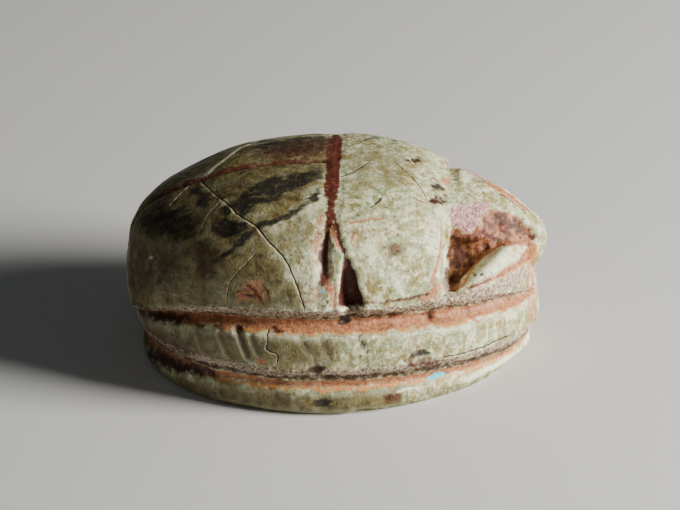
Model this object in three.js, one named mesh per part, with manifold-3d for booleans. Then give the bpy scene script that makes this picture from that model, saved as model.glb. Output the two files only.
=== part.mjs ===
// A scarab amulet, carved from one small block of steatite: a beetle lying on an oval base.
// Millimetres, +Z up, +X towards the beetle's head, origin in the middle of the flat underside.
// The block is turned as a stack of oval rings (base plate, groove, band of folded legs, groove,
// domed back), and the rest is cut out of it or added to it: the lines that divide the back, the
// hollows at both sides of the head, and the hole for a thread.

import * as THREE from "three";
import { mergeVertices } from "three/addons/utils/BufferGeometryUtils.js";
import { ConvexGeometry } from "three/addons/geometries/ConvexGeometry.js";
import Module from "manifold-3d";

const wasm = await Module();
wasm.setup();

// Sizes over all
const REAR_REACH = 9.0; // from the middle to the tip of the wing cases
const HEAD_REACH = 9.0; // from the middle to the nose
const BAND_HALF_WIDTH = 6.5; // the leg band is the widest part
const BACK_HEIGHT = 8.8; // top of the back over the underside

// The ovals, as distances from the middle
const BASE_REAR = 8.35;
const BASE_FRONT = 8.25;
const BASE_HALF_WIDTH = 6.4;
const UNDERSIDE_FRONT = 7.85; // the plate is worn back under the head
const BAND_REAR = 8.6;
const BAND_FRONT = 8.65;
const BACK_FRONT = 8.4;
const BACK_HALF_WIDTH = 6.12;

// The side, from the underside up
const UNDERSIDE_BEVEL = 0.28;
const EDGE_ROUNDING = 0.1;
const BORDER_INSET = 1.0; // plain line cut round the underside
const BORDER_WIDTH = 0.3;
const BORDER_DEPTH = 0.12;
const BASE_THICKNESS = 1.1;
const BASE_THINNING_REAR = 0.15; // the base plate thins towards both ends
const BASE_THINNING_FRONT = 0.45;
const LOWER_GROOVE_WIDTH = 0.95;
const LOWER_GROOVE_DEPTH = 0.5;
const BAND_TOP = 3.8; // height of the band's upper edge half-way along
const BAND_DROP_REAR = 1.35; // how much lower that edge is at the rear end
const BAND_DROP_FRONT = 0.9;
const UPPER_GROOVE_DEPTH = 0.9;
const UPPER_GROOVE_FRONT = 0.5; // its depth at the front end
const UPPER_GROOVE_VERTEX = 0.25; // height of its deepest line over the band's edge
const BACK_EDGE = 4.72; // height of the back's lower edge half-way along
const BACK_DROP_REAR = 2.2;
const BACK_DROP_FRONT = 1.7;
const EDGE_ARCH = 4; // how late the edges of the upper groove bend down
const BACK_FULLNESS = 2.4; // 2 is an ellipse in cross-section, more is squarer

// The ridge of the back in side view, as [distance along, height below the top]
const RIDGE = [
  [-1.0, 4.9],
  [-0.965, 3.0],
  [-0.88, 1.85],
  [-0.74, 1.12],
  [-0.46, 0.28],
  [-0.26, 0.05],
  [0.0, 0.0],
  [0.21, 0.14],
  [0.4, 0.56],
  [0.53, 1.24],
  [1.0, 3.6],
];

// Lines on the back
const NECK_LINE_RADIUS = 0.25; // round-bottomed groove between thorax and wing cases
const SUTURE_RADIUS = 0.15; // line between the two wing cases
const SUTURE_REAR_GAP = 0.35; // how far it stops short of the rear tip
const FORK_RADIUS = 0.11; // fine line from the neck line to the shoulder notch
const NECK_LINE_X = 0.0;
const NECK_LINE_SKEW = 0.04; // the carver's line leans forward on the far side
const NECK_LINE_SAG = 0.3; // and bows back over each shoulder

// Shoulder notches, a small triangle at each side where the neck line ends
const NOTCH_X = 0.66;
const NOTCH_WIDTH = 0.95;
const NOTCH_TOP = 6.95;
const NOTCH_DEPTH = 0.75;

// Head
const HEAD_START = 4.65; // front wall of the thorax
const HEAD_START_SKEW = 0.07; // the carver cut it further forward on the far side
const HEAD_ROOT = 0.4; // length of the head that is sunk into the thorax
const HEAD_BACK_Z = 7.5; // top of the head where it leaves the thorax
const HEAD_BACK_HALF = 1.85; // half widths of the flat top, from the thorax to the nose
const HEAD_BROW_X = 5.9;
const HEAD_BROW_Z = 7.15;
const HEAD_BROW_HALF = 1.6;
const HEAD_MID_X = 6.95;
const HEAD_MID_Z = 6.75;
const HEAD_MID_HALF = 1.15;
const NOSE_X = 8.6;
const NOSE_TOP_Z = 5.75;
const NOSE_HALF = 0.62;
const NOSE_MID_Z = 4.95;
const NOSE_UNDER_Z = 4.1;
const CHIN_SETBACK = 0.7; // the chin runs back under the nose by this much
const CHIN_Z = 3.5;
const HEAD_SIDE_SPREAD = 0.45; // how far the head's side walls spread going down
const HEAD_SIDE_DROP = 1.25; // height of those walls

// Forelegs: a leaf-shaped rim round the front, under the hollows beside the head
const CREST_X = 7.2;
const CREST_Z = 5.55;
const CREST_FALL = 0.22; // how fast the rim falls to the rear, in mm per mm squared
const CREST_FALL_FRONT = 0.6; // and to the nose
const CREST_SHARE = 0.93; // the rim's place between the middle and the outer edge
const HOLLOW_DEPTH = 0.22; // of the hollow's floor, below the rim

// The hole for a thread or a ring's wire, lengthwise through the leg band
const BORE_DIAMETER = 1.5;
const BORE_HEIGHT = 2.85;

// Fineness of the faceted surface
const AROUND = 84;
const BACK_RINGS = 11;
const ALONG_LINE = 26;
const SLIVER = 0.01;

function toSolid(geometry) {
  const bare = geometry.index ? geometry.toNonIndexed() : geometry.clone();
  bare.deleteAttribute("normal");
  bare.deleteAttribute("uv");
  const merged = mergeVertices(bare, 1e-4);
  const index = Array.from(merged.index.array);
  const kept = [];
  for (let i = 0; i < index.length; i += 3) {
    const [a, b, c] = index.slice(i, i + 3);
    if (a !== b && b !== c && c !== a) kept.push(a, b, c);
  }
  return new wasm.Manifold(
    new wasm.Mesh({
      numProp: 3,
      vertProperties: new Float32Array(merged.attributes.position.array),
      triVerts: new Uint32Array(kept),
    }),
  );
}

// The cuts leave slivers where they only graze a facet, so edges that short are closed up
function toGeometry(solid) {
  const mesh = solid.simplify(SLIVER).getMesh();
  const geometry = new THREE.BufferGeometry();
  geometry.setAttribute("position", new THREE.BufferAttribute(mesh.vertProperties, 3));
  geometry.setIndex(new THREE.BufferAttribute(mesh.triVerts, 1));
  const faceted = geometry.toNonIndexed();
  faceted.computeVertexNormals();
  return faceted;
}

// A value between the points of a list of [place, value] pairs, by a smooth curve through them
function along(points, place) {
  const last = points.length - 1;
  if (place <= points[0][0]) return points[0][1];
  if (place >= points[last][0]) return points[last][1];
  let i = 0;
  while (points[i + 1][0] < place) i += 1;
  const slope = (k) => {
    if (k === 0 || k === last) return (points[i + 1][1] - points[i][1]) / (points[i + 1][0] - points[i][0]);
    return (points[k + 1][1] - points[k - 1][1]) / (points[k + 1][0] - points[k - 1][0]);
  };
  const span = points[i + 1][0] - points[i][0];
  const t = (place - points[i][0]) / span;
  const bend = t * t * (3 - 2 * t);
  const first = slope(i) * span * t * (1 - t) * (1 - t);
  const second = slope(i + 1) * span * t * t * (1 - t);
  return points[i][1] + (points[i + 1][1] - points[i][1]) * bend + first - second;
}

const share = (x, rear, front) => Math.min(1, x < 0 ? -x / rear : x / front);

function arched(x, middle, dropRear, dropFront, power, rear, front) {
  const drop = x < 0 ? dropRear : dropFront;
  return middle - drop * share(x, rear, front) ** power;
}

const baseTop = (x) =>
  arched(x, BASE_THICKNESS, BASE_THINNING_REAR, BASE_THINNING_FRONT, 2.5, BASE_REAR, BASE_FRONT);
const bandTop = (x) =>
  arched(x, BAND_TOP, BAND_DROP_REAR, BAND_DROP_FRONT, x < 0 ? EDGE_ARCH : 2.2, BAND_REAR, BAND_FRONT);
const backEdge = (x) =>
  arched(x, BACK_EDGE, BACK_DROP_REAR, BACK_DROP_FRONT, EDGE_ARCH, REAR_REACH, BACK_FRONT);
const backHalfWidth = (x) => BACK_HALF_WIDTH * Math.sqrt(1 - share(x, REAR_REACH, BACK_FRONT) ** 2);

function ridge(x) {
  const place = x < 0 ? x / REAR_REACH : x / HEAD_REACH;
  return Math.max(BACK_HEIGHT - along(RIDGE, place), backEdge(x));
}

// Height of the back over a point of the plan
function backHeight(x, y) {
  const side = Math.min(1, Math.abs(y) / Math.max(backHalfWidth(x), 1e-6));
  const rise = (1 - side ** BACK_FULLNESS) ** (1 / BACK_FULLNESS);
  return backEdge(x) + (ridge(x) - backEdge(x)) * rise;
}

// One ring of the stack: how far it reaches to the rear, the front and the sides, its inset from
// that oval, its share of the way from the middle to the oval, and its height over each point
function ring(rear, front, half, inset, part, height) {
  return { rear, front, half, inset, part, height };
}

function stack(rings) {
  const profile = rings.map((r, i) => new THREE.Vector2(r.part, i));
  const geometry = new THREE.LatheGeometry(profile, AROUND);
  const position = geometry.attributes.position;
  for (let i = 0; i < position.count; i += 1) {
    const r = rings[i % rings.length];
    const turn = (Math.floor(i / rings.length) / AROUND) * Math.PI * 2;
    const reach = Math.cos(turn) < 0 ? r.rear : r.front;
    const x = (reach - r.inset) * r.part * Math.cos(turn);
    const y = (r.half - r.inset) * r.part * Math.sin(turn);
    position.setXYZ(i, x, y, r.height(x, y));
  }
  return toSolid(geometry);
}

const onBase = (inset, height) => ring(BASE_REAR, BASE_FRONT, BASE_HALF_WIDTH, inset, 1, height);
const onUnderside = (inset, height) =>
  ring(BASE_REAR, UNDERSIDE_FRONT, BASE_HALF_WIDTH, inset, 1, height);
const onBand = (inset, height) => ring(BAND_REAR, BAND_FRONT, BAND_HALF_WIDTH, inset, 1, height);
const onBack = (inset, part, height) =>
  ring(REAR_REACH, BACK_FRONT, BACK_HALF_WIDTH, inset, part, height);

function block() {
  const grooveFloor = BAND_HALF_WIDTH - BACK_HALF_WIDTH;
  const shallower = UPPER_GROOVE_DEPTH - UPPER_GROOVE_FRONT;
  const grooveVertex = (x) => bandTop(x) + UPPER_GROOVE_VERTEX;
  const rings = [
    ring(BASE_REAR, BASE_FRONT, BASE_HALF_WIDTH, 0, 0, () => 0),
    onUnderside(BORDER_INSET + BORDER_WIDTH, () => 0),
    onUnderside(BORDER_INSET + BORDER_WIDTH / 2, () => BORDER_DEPTH),
    onUnderside(BORDER_INSET, () => 0),
    onUnderside(UNDERSIDE_BEVEL, () => 0),
    onBase(0, () => UNDERSIDE_BEVEL),
    onBase(0, (x) => baseTop(x) - EDGE_ROUNDING),
    onBase(EDGE_ROUNDING, (x) => baseTop(x)),
    onBand(LOWER_GROOVE_DEPTH, (x) => baseTop(x) + LOWER_GROOVE_WIDTH * 0.25),
    onBand(EDGE_ROUNDING, (x) => baseTop(x) + LOWER_GROOVE_WIDTH),
    onBand(0, (x) => baseTop(x) + LOWER_GROOVE_WIDTH + EDGE_ROUNDING),
    onBand(0, (x) => bandTop(x) - EDGE_ROUNDING),
    onBand(EDGE_ROUNDING, (x) => bandTop(x)),
    ring(BAND_REAR, BAND_FRONT + shallower, BAND_HALF_WIDTH, UPPER_GROOVE_DEPTH, 1, grooveVertex),
    onBack(UPPER_GROOVE_DEPTH / 2 - grooveFloor / 2, 1, (x) => backEdge(x) - EDGE_ROUNDING * 2),
    onBack(0, 1, (x) => backEdge(x) + EDGE_ROUNDING),
  ];
  for (let k = 1; k <= BACK_RINGS; k += 1) {
    const tilt = (k / BACK_RINGS) * (Math.PI / 2);
    const part = k === BACK_RINGS ? 0 : Math.cos(tilt) ** 0.8;
    rings.push(onBack(0, part, (x, y) => Math.max(backHeight(x, y), backEdge(x) + 2 * EDGE_ROUNDING)));
  }
  return stack(rings);
}

// Everything in front of the thorax, above the leg band
function frontCut() {
  const wide = BAND_HALF_WIDTH + 1;
  const corners = [];
  for (const y of [-wide, wide]) {
    for (const z of [CHIN_Z - 1, BACK_HEIGHT + 1]) {
      corners.push(new THREE.Vector3(HEAD_START + HEAD_START_SKEW * y, y, z));
      corners.push(new THREE.Vector3(HEAD_REACH + 1, y, z));
    }
  }
  return toSolid(new ConvexGeometry(corners));
}

// What stays in front of the thorax, below the head: the rim of the forelegs and its dished floor
function frontRim() {
  const fall = (x) => (x < CREST_X ? CREST_FALL : CREST_FALL_FRONT) * (x - CREST_X) ** 2;
  const crest = (x) => Math.max(backEdge(x) + 0.2, CREST_Z - fall(x));
  const rise = (amount) => (x) => backEdge(x) + (crest(x) - backEdge(x)) * amount;
  const floor = (x) => Math.min(crest(x), CREST_Z) - HOLLOW_DEPTH;
  const wide = BAND_HALF_WIDTH - BACK_HALF_WIDTH + 0.5;
  return stack([
    onBack(0, 0, () => 1),
    onBack(-wide, 1, () => 1),
    onBack(-wide, 1, (x) => backEdge(x) - 0.2),
    onBack(0, 1, rise(0.08)),
    onBack(0, (1 + CREST_SHARE) / 2 + 0.02, rise(0.5)),
    onBack(0, (1 + CREST_SHARE) / 2 - 0.005, rise(0.82)),
    onBack(0, CREST_SHARE, rise(1)),
    onBack(0, CREST_SHARE - 0.03, rise(0.97)),
    onBack(0, CREST_SHARE - 0.16, (x) => floor(x) + HOLLOW_DEPTH * 0.3),
    onBack(0, CREST_SHARE - 0.3, floor),
    onBack(0, 0, floor),
  ]);
}

function head() {
  const corners = [];
  const pair = (x, half, z) => corners.push(new THREE.Vector3(x, half, z), new THREE.Vector3(x, -half, z));
  const slope = (HEAD_BACK_Z - HEAD_BROW_Z) / (HEAD_BROW_X - HEAD_START);
  const rootX = HEAD_START - HEAD_ROOT;
  const side = (x, half, z) => {
    pair(x, half, z);
    pair(x, half + HEAD_SIDE_SPREAD, z - HEAD_SIDE_DROP);
  };
  side(rootX, HEAD_BACK_HALF, HEAD_BACK_Z + slope * HEAD_ROOT * 0.5);
  side(HEAD_BROW_X, HEAD_BROW_HALF, HEAD_BROW_Z);
  side(HEAD_MID_X, HEAD_MID_HALF, HEAD_MID_Z);
  pair(NOSE_X, NOSE_HALF, NOSE_TOP_Z);
  pair(NOSE_X, NOSE_HALF + HEAD_SIDE_SPREAD * 0.6, NOSE_MID_Z);
  pair((NOSE_X + HEAD_REACH) / 2 + 0.1, NOSE_HALF * 0.8, (NOSE_TOP_Z + NOSE_MID_Z) / 2 + 0.1);
  pair(HEAD_REACH, NOSE_HALF * 0.55, NOSE_MID_Z);
  pair(HEAD_REACH - 0.08, NOSE_HALF * 0.5, (NOSE_MID_Z + NOSE_UNDER_Z) / 2);
  pair(HEAD_REACH - 0.25, NOSE_HALF * 0.6, NOSE_UNDER_Z);
  pair(HEAD_REACH - CHIN_SETBACK, NOSE_HALF, CHIN_Z);
  pair(rootX, HEAD_BACK_HALF, CHIN_Z);
  return toSolid(new ConvexGeometry(corners));
}

// A round-bottomed cutter along a line, for grooves and for the bore
function tube(points, radius, sides) {
  const shape = new THREE.Shape();
  for (let i = 0; i < sides; i += 1) {
    const turn = (i / sides) * Math.PI * 2;
    const spot = [radius * Math.cos(turn), radius * Math.sin(turn)];
    if (i === 0) shape.moveTo(...spot);
    else shape.lineTo(...spot);
  }
  shape.closePath();
  const path = new THREE.CatmullRomCurve3(points);
  return toSolid(new THREE.ExtrudeGeometry(shape, { steps: points.length * 2, extrudePath: path }));
}

// Place of the neck line across the back
function neckX(y) {
  const side = Math.abs(y) / BACK_HALF_WIDTH;
  const sag = Math.exp(-(((side - 0.87) / 0.2) ** 2));
  return NECK_LINE_X + NECK_LINE_SKEW * y - NECK_LINE_SAG * sag;
}

function neckLine() {
  const points = [];
  for (let i = 0; i <= ALONG_LINE; i += 1) {
    const turn = -1.08 + (i / ALONG_LINE) * 2.16;
    const lean = Math.sin(Math.max(-Math.PI / 2, Math.min(Math.PI / 2, turn * 1.45)));
    const y = BACK_HALF_WIDTH * lean;
    const end = Math.max(0, Math.abs(turn) * 1.45 - Math.PI / 2) / (1.08 * 1.45 - Math.PI / 2 + 1e-9);
    const z = Math.abs(lean) > 0.9999 ? BACK_EDGE - 0.6 * end : backHeight(NECK_LINE_X, y);
    points.push(new THREE.Vector3(neckX(y), y, z));
  }
  return tube(points, NECK_LINE_RADIUS, 8);
}

function suture() {
  const points = [];
  const start = NECK_LINE_X;
  const end = -REAR_REACH + SUTURE_REAR_GAP;
  for (let i = 0; i <= ALONG_LINE; i += 1) {
    const x = start + ((end - start) * i) / ALONG_LINE;
    points.push(new THREE.Vector3(x, 0, ridge(x)));
  }
  return tube(points, SUTURE_RADIUS, 6);
}

// The y of the back's surface at a height, on the side that sign names
function backSide(x, z, sign) {
  const rise = Math.min(1, Math.max(0, (z - backEdge(x)) / (ridge(x) - backEdge(x))));
  return sign * backHalfWidth(x) * (1 - rise ** BACK_FULLNESS) ** (1 / BACK_FULLNESS);
}

function shoulderNotch(sign) {
  const low = BACK_EDGE - 0.5;
  const topX = NOTCH_X - NOTCH_WIDTH * 0.2;
  const topY = backSide(topX, NOTCH_TOP, sign);
  const edgeY = sign * backHalfWidth(NOTCH_X);
  const out = sign * 1.2;
  const corners = [
    new THREE.Vector3(topX, topY, NOTCH_TOP),
    new THREE.Vector3(topX, topY + out, NOTCH_TOP + 0.4),
    new THREE.Vector3(NOTCH_X, edgeY - sign * NOTCH_DEPTH, BACK_EDGE + 0.5),
    new THREE.Vector3(NOTCH_X, edgeY - sign * NOTCH_DEPTH, low),
  ];
  for (const x of [NOTCH_X - NOTCH_WIDTH / 2, NOTCH_X + NOTCH_WIDTH / 2]) {
    corners.push(new THREE.Vector3(x, edgeY, BACK_EDGE), new THREE.Vector3(x, edgeY, low));
    corners.push(new THREE.Vector3(x, edgeY + out, BACK_EDGE), new THREE.Vector3(x, edgeY + out, low));
  }
  return toSolid(new ConvexGeometry(corners));
}

function fork(sign) {
  const points = [];
  const startZ = NOTCH_TOP + 0.85;
  const startY = backSide(NECK_LINE_X, startZ, sign);
  const endX = NOTCH_X - NOTCH_WIDTH * 0.2;
  const startX = neckX(startY);
  for (let i = 0; i <= 6; i += 1) {
    const z = startZ + (NOTCH_TOP - 0.15 - startZ) * (i / 6);
    const x = startX + (endX - startX) * (i / 6);
    points.push(new THREE.Vector3(x, backSide(x, z, sign), z));
  }
  return tube(points, FORK_RADIUS, 6);
}

function scarab() {
  let body = block().subtract(frontCut().subtract(frontRim()));
  body = body.add(head());
  body = body.subtract(neckLine()).subtract(suture());
  for (const sign of [-1, 1]) {
    body = body.subtract(shoulderNotch(sign)).subtract(fork(sign));
  }
  const far = Math.max(REAR_REACH, HEAD_REACH) + 1;
  const bore = [-far, 0, far].map((x) => new THREE.Vector3(x, 0, BORE_HEIGHT));
  return toGeometry(body.subtract(tube(bore, BORE_DIAMETER / 2, 16)));
}

const steatite = new THREE.MeshStandardMaterial({ color: 0xb8b296, roughness: 0.62, metalness: 0 });

const scarabMesh = new THREE.Mesh(scarab(), steatite);
scarabMesh.name = "scarab";

const group = new THREE.Group();
group.add(scarabMesh);

export default group;
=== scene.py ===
# %% [markdown]
# # A steatite scarab amulet
# The object is a beetle carved from one small block of soft stone, 18 mm long. Its shape comes
# from the CAD model as one faceted solid. Blender adds what the carver's tools and three thousand
# years of wear left on it: soft edges, sandy groove walls, cracks, pits, ochre and dark stains.

# %% Load the frame
import math

import bmesh
import bpy
import numpy as np
from mathutils import Matrix, Vector, noise
from mathutils.bvhtree import BVHTree
from mathutils.kdtree import KDTree


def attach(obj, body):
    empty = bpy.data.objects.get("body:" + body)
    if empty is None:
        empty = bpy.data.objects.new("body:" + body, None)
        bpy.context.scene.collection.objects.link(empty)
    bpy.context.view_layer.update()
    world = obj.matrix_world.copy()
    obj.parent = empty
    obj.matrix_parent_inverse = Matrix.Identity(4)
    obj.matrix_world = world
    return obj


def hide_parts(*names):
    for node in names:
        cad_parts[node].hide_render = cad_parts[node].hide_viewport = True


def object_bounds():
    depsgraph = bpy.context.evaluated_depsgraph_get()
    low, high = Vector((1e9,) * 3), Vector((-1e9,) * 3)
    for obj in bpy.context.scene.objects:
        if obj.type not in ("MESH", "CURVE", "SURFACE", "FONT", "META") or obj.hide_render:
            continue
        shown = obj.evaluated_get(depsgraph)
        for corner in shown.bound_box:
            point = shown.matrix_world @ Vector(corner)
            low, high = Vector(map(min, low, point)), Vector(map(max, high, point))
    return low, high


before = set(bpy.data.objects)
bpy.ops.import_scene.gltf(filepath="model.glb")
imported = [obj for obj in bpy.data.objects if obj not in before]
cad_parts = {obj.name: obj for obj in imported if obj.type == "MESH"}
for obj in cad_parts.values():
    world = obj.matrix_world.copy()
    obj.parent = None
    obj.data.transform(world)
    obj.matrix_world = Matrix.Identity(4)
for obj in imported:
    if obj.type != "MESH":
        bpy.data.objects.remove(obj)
cad_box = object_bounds()
print("CAD box in metres:", cad_box)

# %% [markdown]
# ## The camera
# The camera comes first, because the cracks and stains are placed by where the photograph shows
# them. The photograph looks at the beetle's right side from about 28 degrees above, with the
# head end turned up a little. The same numbers serve twice: for Blender's camera, and for a small
# function that says which pixel of the 680 by 510 picture a point falls on.

# %% Camera values
MM = 0.001
PICTURE_WIDTH = 680
PICTURE_HEIGHT = 510
ELEVATION = math.radians(27.7)
ROLL = math.radians(1.5)
CAMERA_DISTANCE = 190.0
PIXELS_PER_MM = 23.5
LOOK_AT = Vector((0.0, 0.0, 4.0))
LOOK_AT_PIXEL = (336.0, 261.0)
SENSOR_WIDTH = 36.0
NEAR_CLIP = 0.01

back = Vector((0.0, -math.cos(ELEVATION), math.sin(ELEVATION)))
turned = back.to_track_quat("Z", "Y").to_matrix() @ Matrix.Rotation(-ROLL, 3, "Z")
eye = LOOK_AT + back * CAMERA_DISTANCE
right_mm, up_mm = np.array(turned.col[0]), np.array(turned.col[1])
back_mm, eye_mm = np.array(back), np.array(eye)
print("Camera's eye at", np.round(eye_mm), "mm")

# %% Make the camera
def new_object(name, data):
    """A new object of the scene, at the origin."""
    made = bpy.data.objects.new(name, data)
    bpy.context.scene.collection.objects.link(made)
    return made


camera = new_object("camera", bpy.data.cameras.new("camera"))
camera.matrix_world = Matrix.Translation(eye * MM) @ turned.to_4x4()
camera.data.sensor_width = SENSOR_WIDTH
camera.data.lens = SENSOR_WIDTH * PIXELS_PER_MM * CAMERA_DISTANCE / PICTURE_WIDTH
camera.data.shift_x = -(LOOK_AT_PIXEL[0] - PICTURE_WIDTH / 2) / PICTURE_WIDTH
camera.data.shift_y = (LOOK_AT_PIXEL[1] - PICTURE_HEIGHT / 2) / PICTURE_WIDTH
camera.data.clip_start = NEAR_CLIP
bpy.context.scene.camera = camera


def to_pixels(points):
    """The pixels that points in millimetres fall on, as an array of x and y."""
    from_eye = points - eye_mm
    zoom = PIXELS_PER_MM * CAMERA_DISTANCE / -(from_eye @ back_mm)
    x = LOOK_AT_PIXEL[0] + zoom * (from_eye @ right_mm)
    y = LOOK_AT_PIXEL[1] - zoom * (from_eye @ up_mm)
    return np.stack([x, y], axis=1)


def ray_through(pixel):
    """The direction from the camera through one pixel, in millimetres."""
    across = (pixel[0] - LOOK_AT_PIXEL[0]) / (PIXELS_PER_MM * CAMERA_DISTANCE)
    upward = (LOOK_AT_PIXEL[1] - pixel[1]) / (PIXELS_PER_MM * CAMERA_DISTANCE)
    return Vector(across * right_mm + upward * up_mm - back_mm).normalized()


print(f"Camera {CAMERA_DISTANCE:.0f} mm away, lens {camera.data.lens:.1f} mm")

# %% [markdown]
# ## The stone's surface
# A CAD solid has flat facets and sharp edges. A subdivision surface would follow those facets, so
# the copy is rebuilt instead with a voxel remesh, an even skin of small squares, and then relaxed
# until the facets are gone and the edges look worn. The mesh is handled in millimetres until the
# end, because a remesh is easier to judge in the units that the stone is measured in. How deep in a
# hollow each point lies is measured by more relaxing. The colour darkens in hollows, as dirt and
# painted shade, and pales on rises, as wear and a painted highlight.

# %% Rebuild the solid as an even skin
VOXEL = 0.103
MERGE_DISTANCE = 1e-7


def even_skin(node, voxel):
    """A new mesh in millimetres over a copy of the node's solid, made of squares one voxel wide."""
    solid = bmesh.new()
    solid.from_mesh(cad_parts[node].data)
    bmesh.ops.remove_doubles(solid, verts=solid.verts, dist=MERGE_DISTANCE)
    bmesh.ops.scale(solid, vec=(1 / MM, 1 / MM, 1 / MM), verts=solid.verts)
    coarse = bpy.data.meshes.new("coarse")
    solid.to_mesh(coarse)
    solid.free()
    holder = new_object("holder", coarse)
    remesh = holder.modifiers.new("remesh", "REMESH")
    remesh.mode = "VOXEL"
    remesh.voxel_size = voxel
    seen = bpy.context.evaluated_depsgraph_get()
    fine = bpy.data.meshes.new_from_object(holder.evaluated_get(seen))
    bpy.data.objects.remove(holder)
    bpy.data.meshes.remove(coarse)
    return fine


skin = even_skin("scarab", VOXEL)
count = len(skin.vertices)
points = np.empty(count * 3)
skin.vertices.foreach_get("co", points)
points = points.reshape(-1, 3)
edges = np.empty(len(skin.edges) * 2, dtype=np.int64)
skin.edges.foreach_get("vertices", edges)
edges = edges.reshape(-1, 2)
print("Skin:", count, "points,", len(skin.polygons), "faces")

# %% Relax it
RELAX_ROUNDS = 6
CAVITY_ROUNDS = 20

neighbours = np.bincount(edges.ravel(), minlength=count).astype(float)


def spread(values):
    """Each point's average over its neighbours."""
    total = np.bincount(edges[:, 0], values[edges[:, 1]], count)
    total += np.bincount(edges[:, 1], values[edges[:, 0]], count)
    return total / neighbours


def relaxed(places, rounds):
    """The places after some rounds of moving each one half-way to its neighbours' middle."""
    places = places.copy()
    for _ in range(rounds):
        for axis in range(3):
            places[:, axis] = (places[:, axis] + spread(places[:, axis])) / 2
    return places


def normals_of(places):
    """The outward direction at each point of the skin."""
    skin.vertices.foreach_set("co", places.ravel())
    skin.update()
    found = np.empty(count * 3)
    skin.vertex_normals.foreach_get("vector", found)
    return found.reshape(-1, 3)


points = relaxed(points, RELAX_ROUNDS)
points[:, 2] = np.maximum(points[:, 2], 0.0)
normals = normals_of(points)
cavity = np.einsum("ij,ij->i", relaxed(points, CAVITY_ROUNDS) - points, normals)
print(f"Cavities reach {cavity.max():.2f} mm")

# %% [markdown]
# ## Where things are
# The grooves round the side follow the CAD model's heights, so their formulas are repeated here.
# They tell the paint how far up each groove a point lies.

# %% Heights of the side
REAR_REACH = 9.0
BASE_REAR, BASE_FRONT, BASE_THICKNESS = 8.35, 8.25, 1.1
BASE_THINNING_REAR, BASE_THINNING_FRONT = 0.15, 0.45
LOWER_GROOVE_WIDTH = 0.95
BAND_REAR, BAND_FRONT, BAND_TOP = 8.6, 8.65, 3.8
BAND_DROP_REAR, BAND_DROP_FRONT = 1.35, 0.9
BACK_FRONT, BACK_EDGE = 8.4, 4.72
BACK_DROP_REAR, BACK_DROP_FRONT = 2.2, 1.7
BASE_POWER, BACK_POWER = 2.5, 4
BAND_POWER_REAR, BAND_POWER_FRONT = 4, 2.2


def arched(x, middle, drop_rear, drop_front, power_rear, power_front, rear, front):
    """A height that is highest half-way along and falls to both ends."""
    share = np.minimum(1.0, np.where(x < 0, -x / rear, x / front))
    fall = np.where(x < 0, drop_rear * share**power_rear, drop_front * share**power_front)
    return middle - fall


along = points[:, 0]
side = points[:, 1]
height = points[:, 2]
base_top = arched(along, BASE_THICKNESS, BASE_THINNING_REAR, BASE_THINNING_FRONT,
                  BASE_POWER, BASE_POWER, BASE_REAR, BASE_FRONT)
band_top = arched(along, BAND_TOP, BAND_DROP_REAR, BAND_DROP_FRONT,
                  BAND_POWER_REAR, BAND_POWER_FRONT, BAND_REAR, BAND_FRONT)
back_edge = arched(along, BACK_EDGE, BACK_DROP_REAR, BACK_DROP_FRONT,
                   BACK_POWER, BACK_POWER, REAR_REACH, BACK_FRONT)
band_foot = base_top.max() + LOWER_GROOVE_WIDTH
print(f"Leg band from {band_foot:.2f} to {band_top.max():.2f} mm")

# %% [markdown]
# A mark on the photographed side is drawn as a line or an outline of picture pixels. A line is
# carried onto the stone along the camera's rays, and each point of the skin is measured to it in
# real millimetres. An outline is tested in the picture, for points that face the camera.

# %% Helpers that place marks
FACING_SHARPNESS = 4
LAID_STEP, LINE_REACH, FAR_OFF = 0.03, 0.6, 1.0
MIRROR = np.array([1.0, -1.0, 1.0])
SEED_STEPS = (7.1, 3.3, 5.7)
NOISE_FALL, NOISE_STEP = 1.0, 2.0


def surface_of(places):
    """The skin at these places, as a surface to send rays at."""
    faces = [tuple(f.vertices) for f in skin.polygons]
    return BVHTree.FromPolygons([tuple(p) for p in places], faces)


def facing_camera(directions):
    """1 where a direction points towards the camera, 0 where it points away."""
    return np.clip(np.einsum("ij,ij->i", directions, to_eye) * FACING_SHARPNESS, 0, 1)


surface = surface_of(points)
pixels = to_pixels(points)
folded = np.where(side[:, None] < 0, pixels, to_pixels(points * MIRROR))
to_eye = eye_mm - points
to_eye /= np.linalg.norm(to_eye, axis=1)[:, None]
facing = facing_camera(normals)


def on_stone(pixel):
    """The point of the stone under a pixel, or None beside it."""
    return surface.ray_cast(Vector(eye_mm), ray_through(pixel))[0]


def smooth(low, high, values):
    """0 below low, 1 above high, and a smooth ramp between them."""
    t = np.clip((values - low) / (high - low), 0, 1)
    return t * t * (3 - 2 * t)


def between(low, high, values, soft):
    """1 between two values and 0 outside them."""
    return smooth(low - soft, low + soft, values) * smooth(high + soft, high - soft, values)


def bell(values, half_width):
    """1 where values are 0, falling away smoothly on both sides."""
    return np.exp(-((values / half_width) ** 2))


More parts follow.
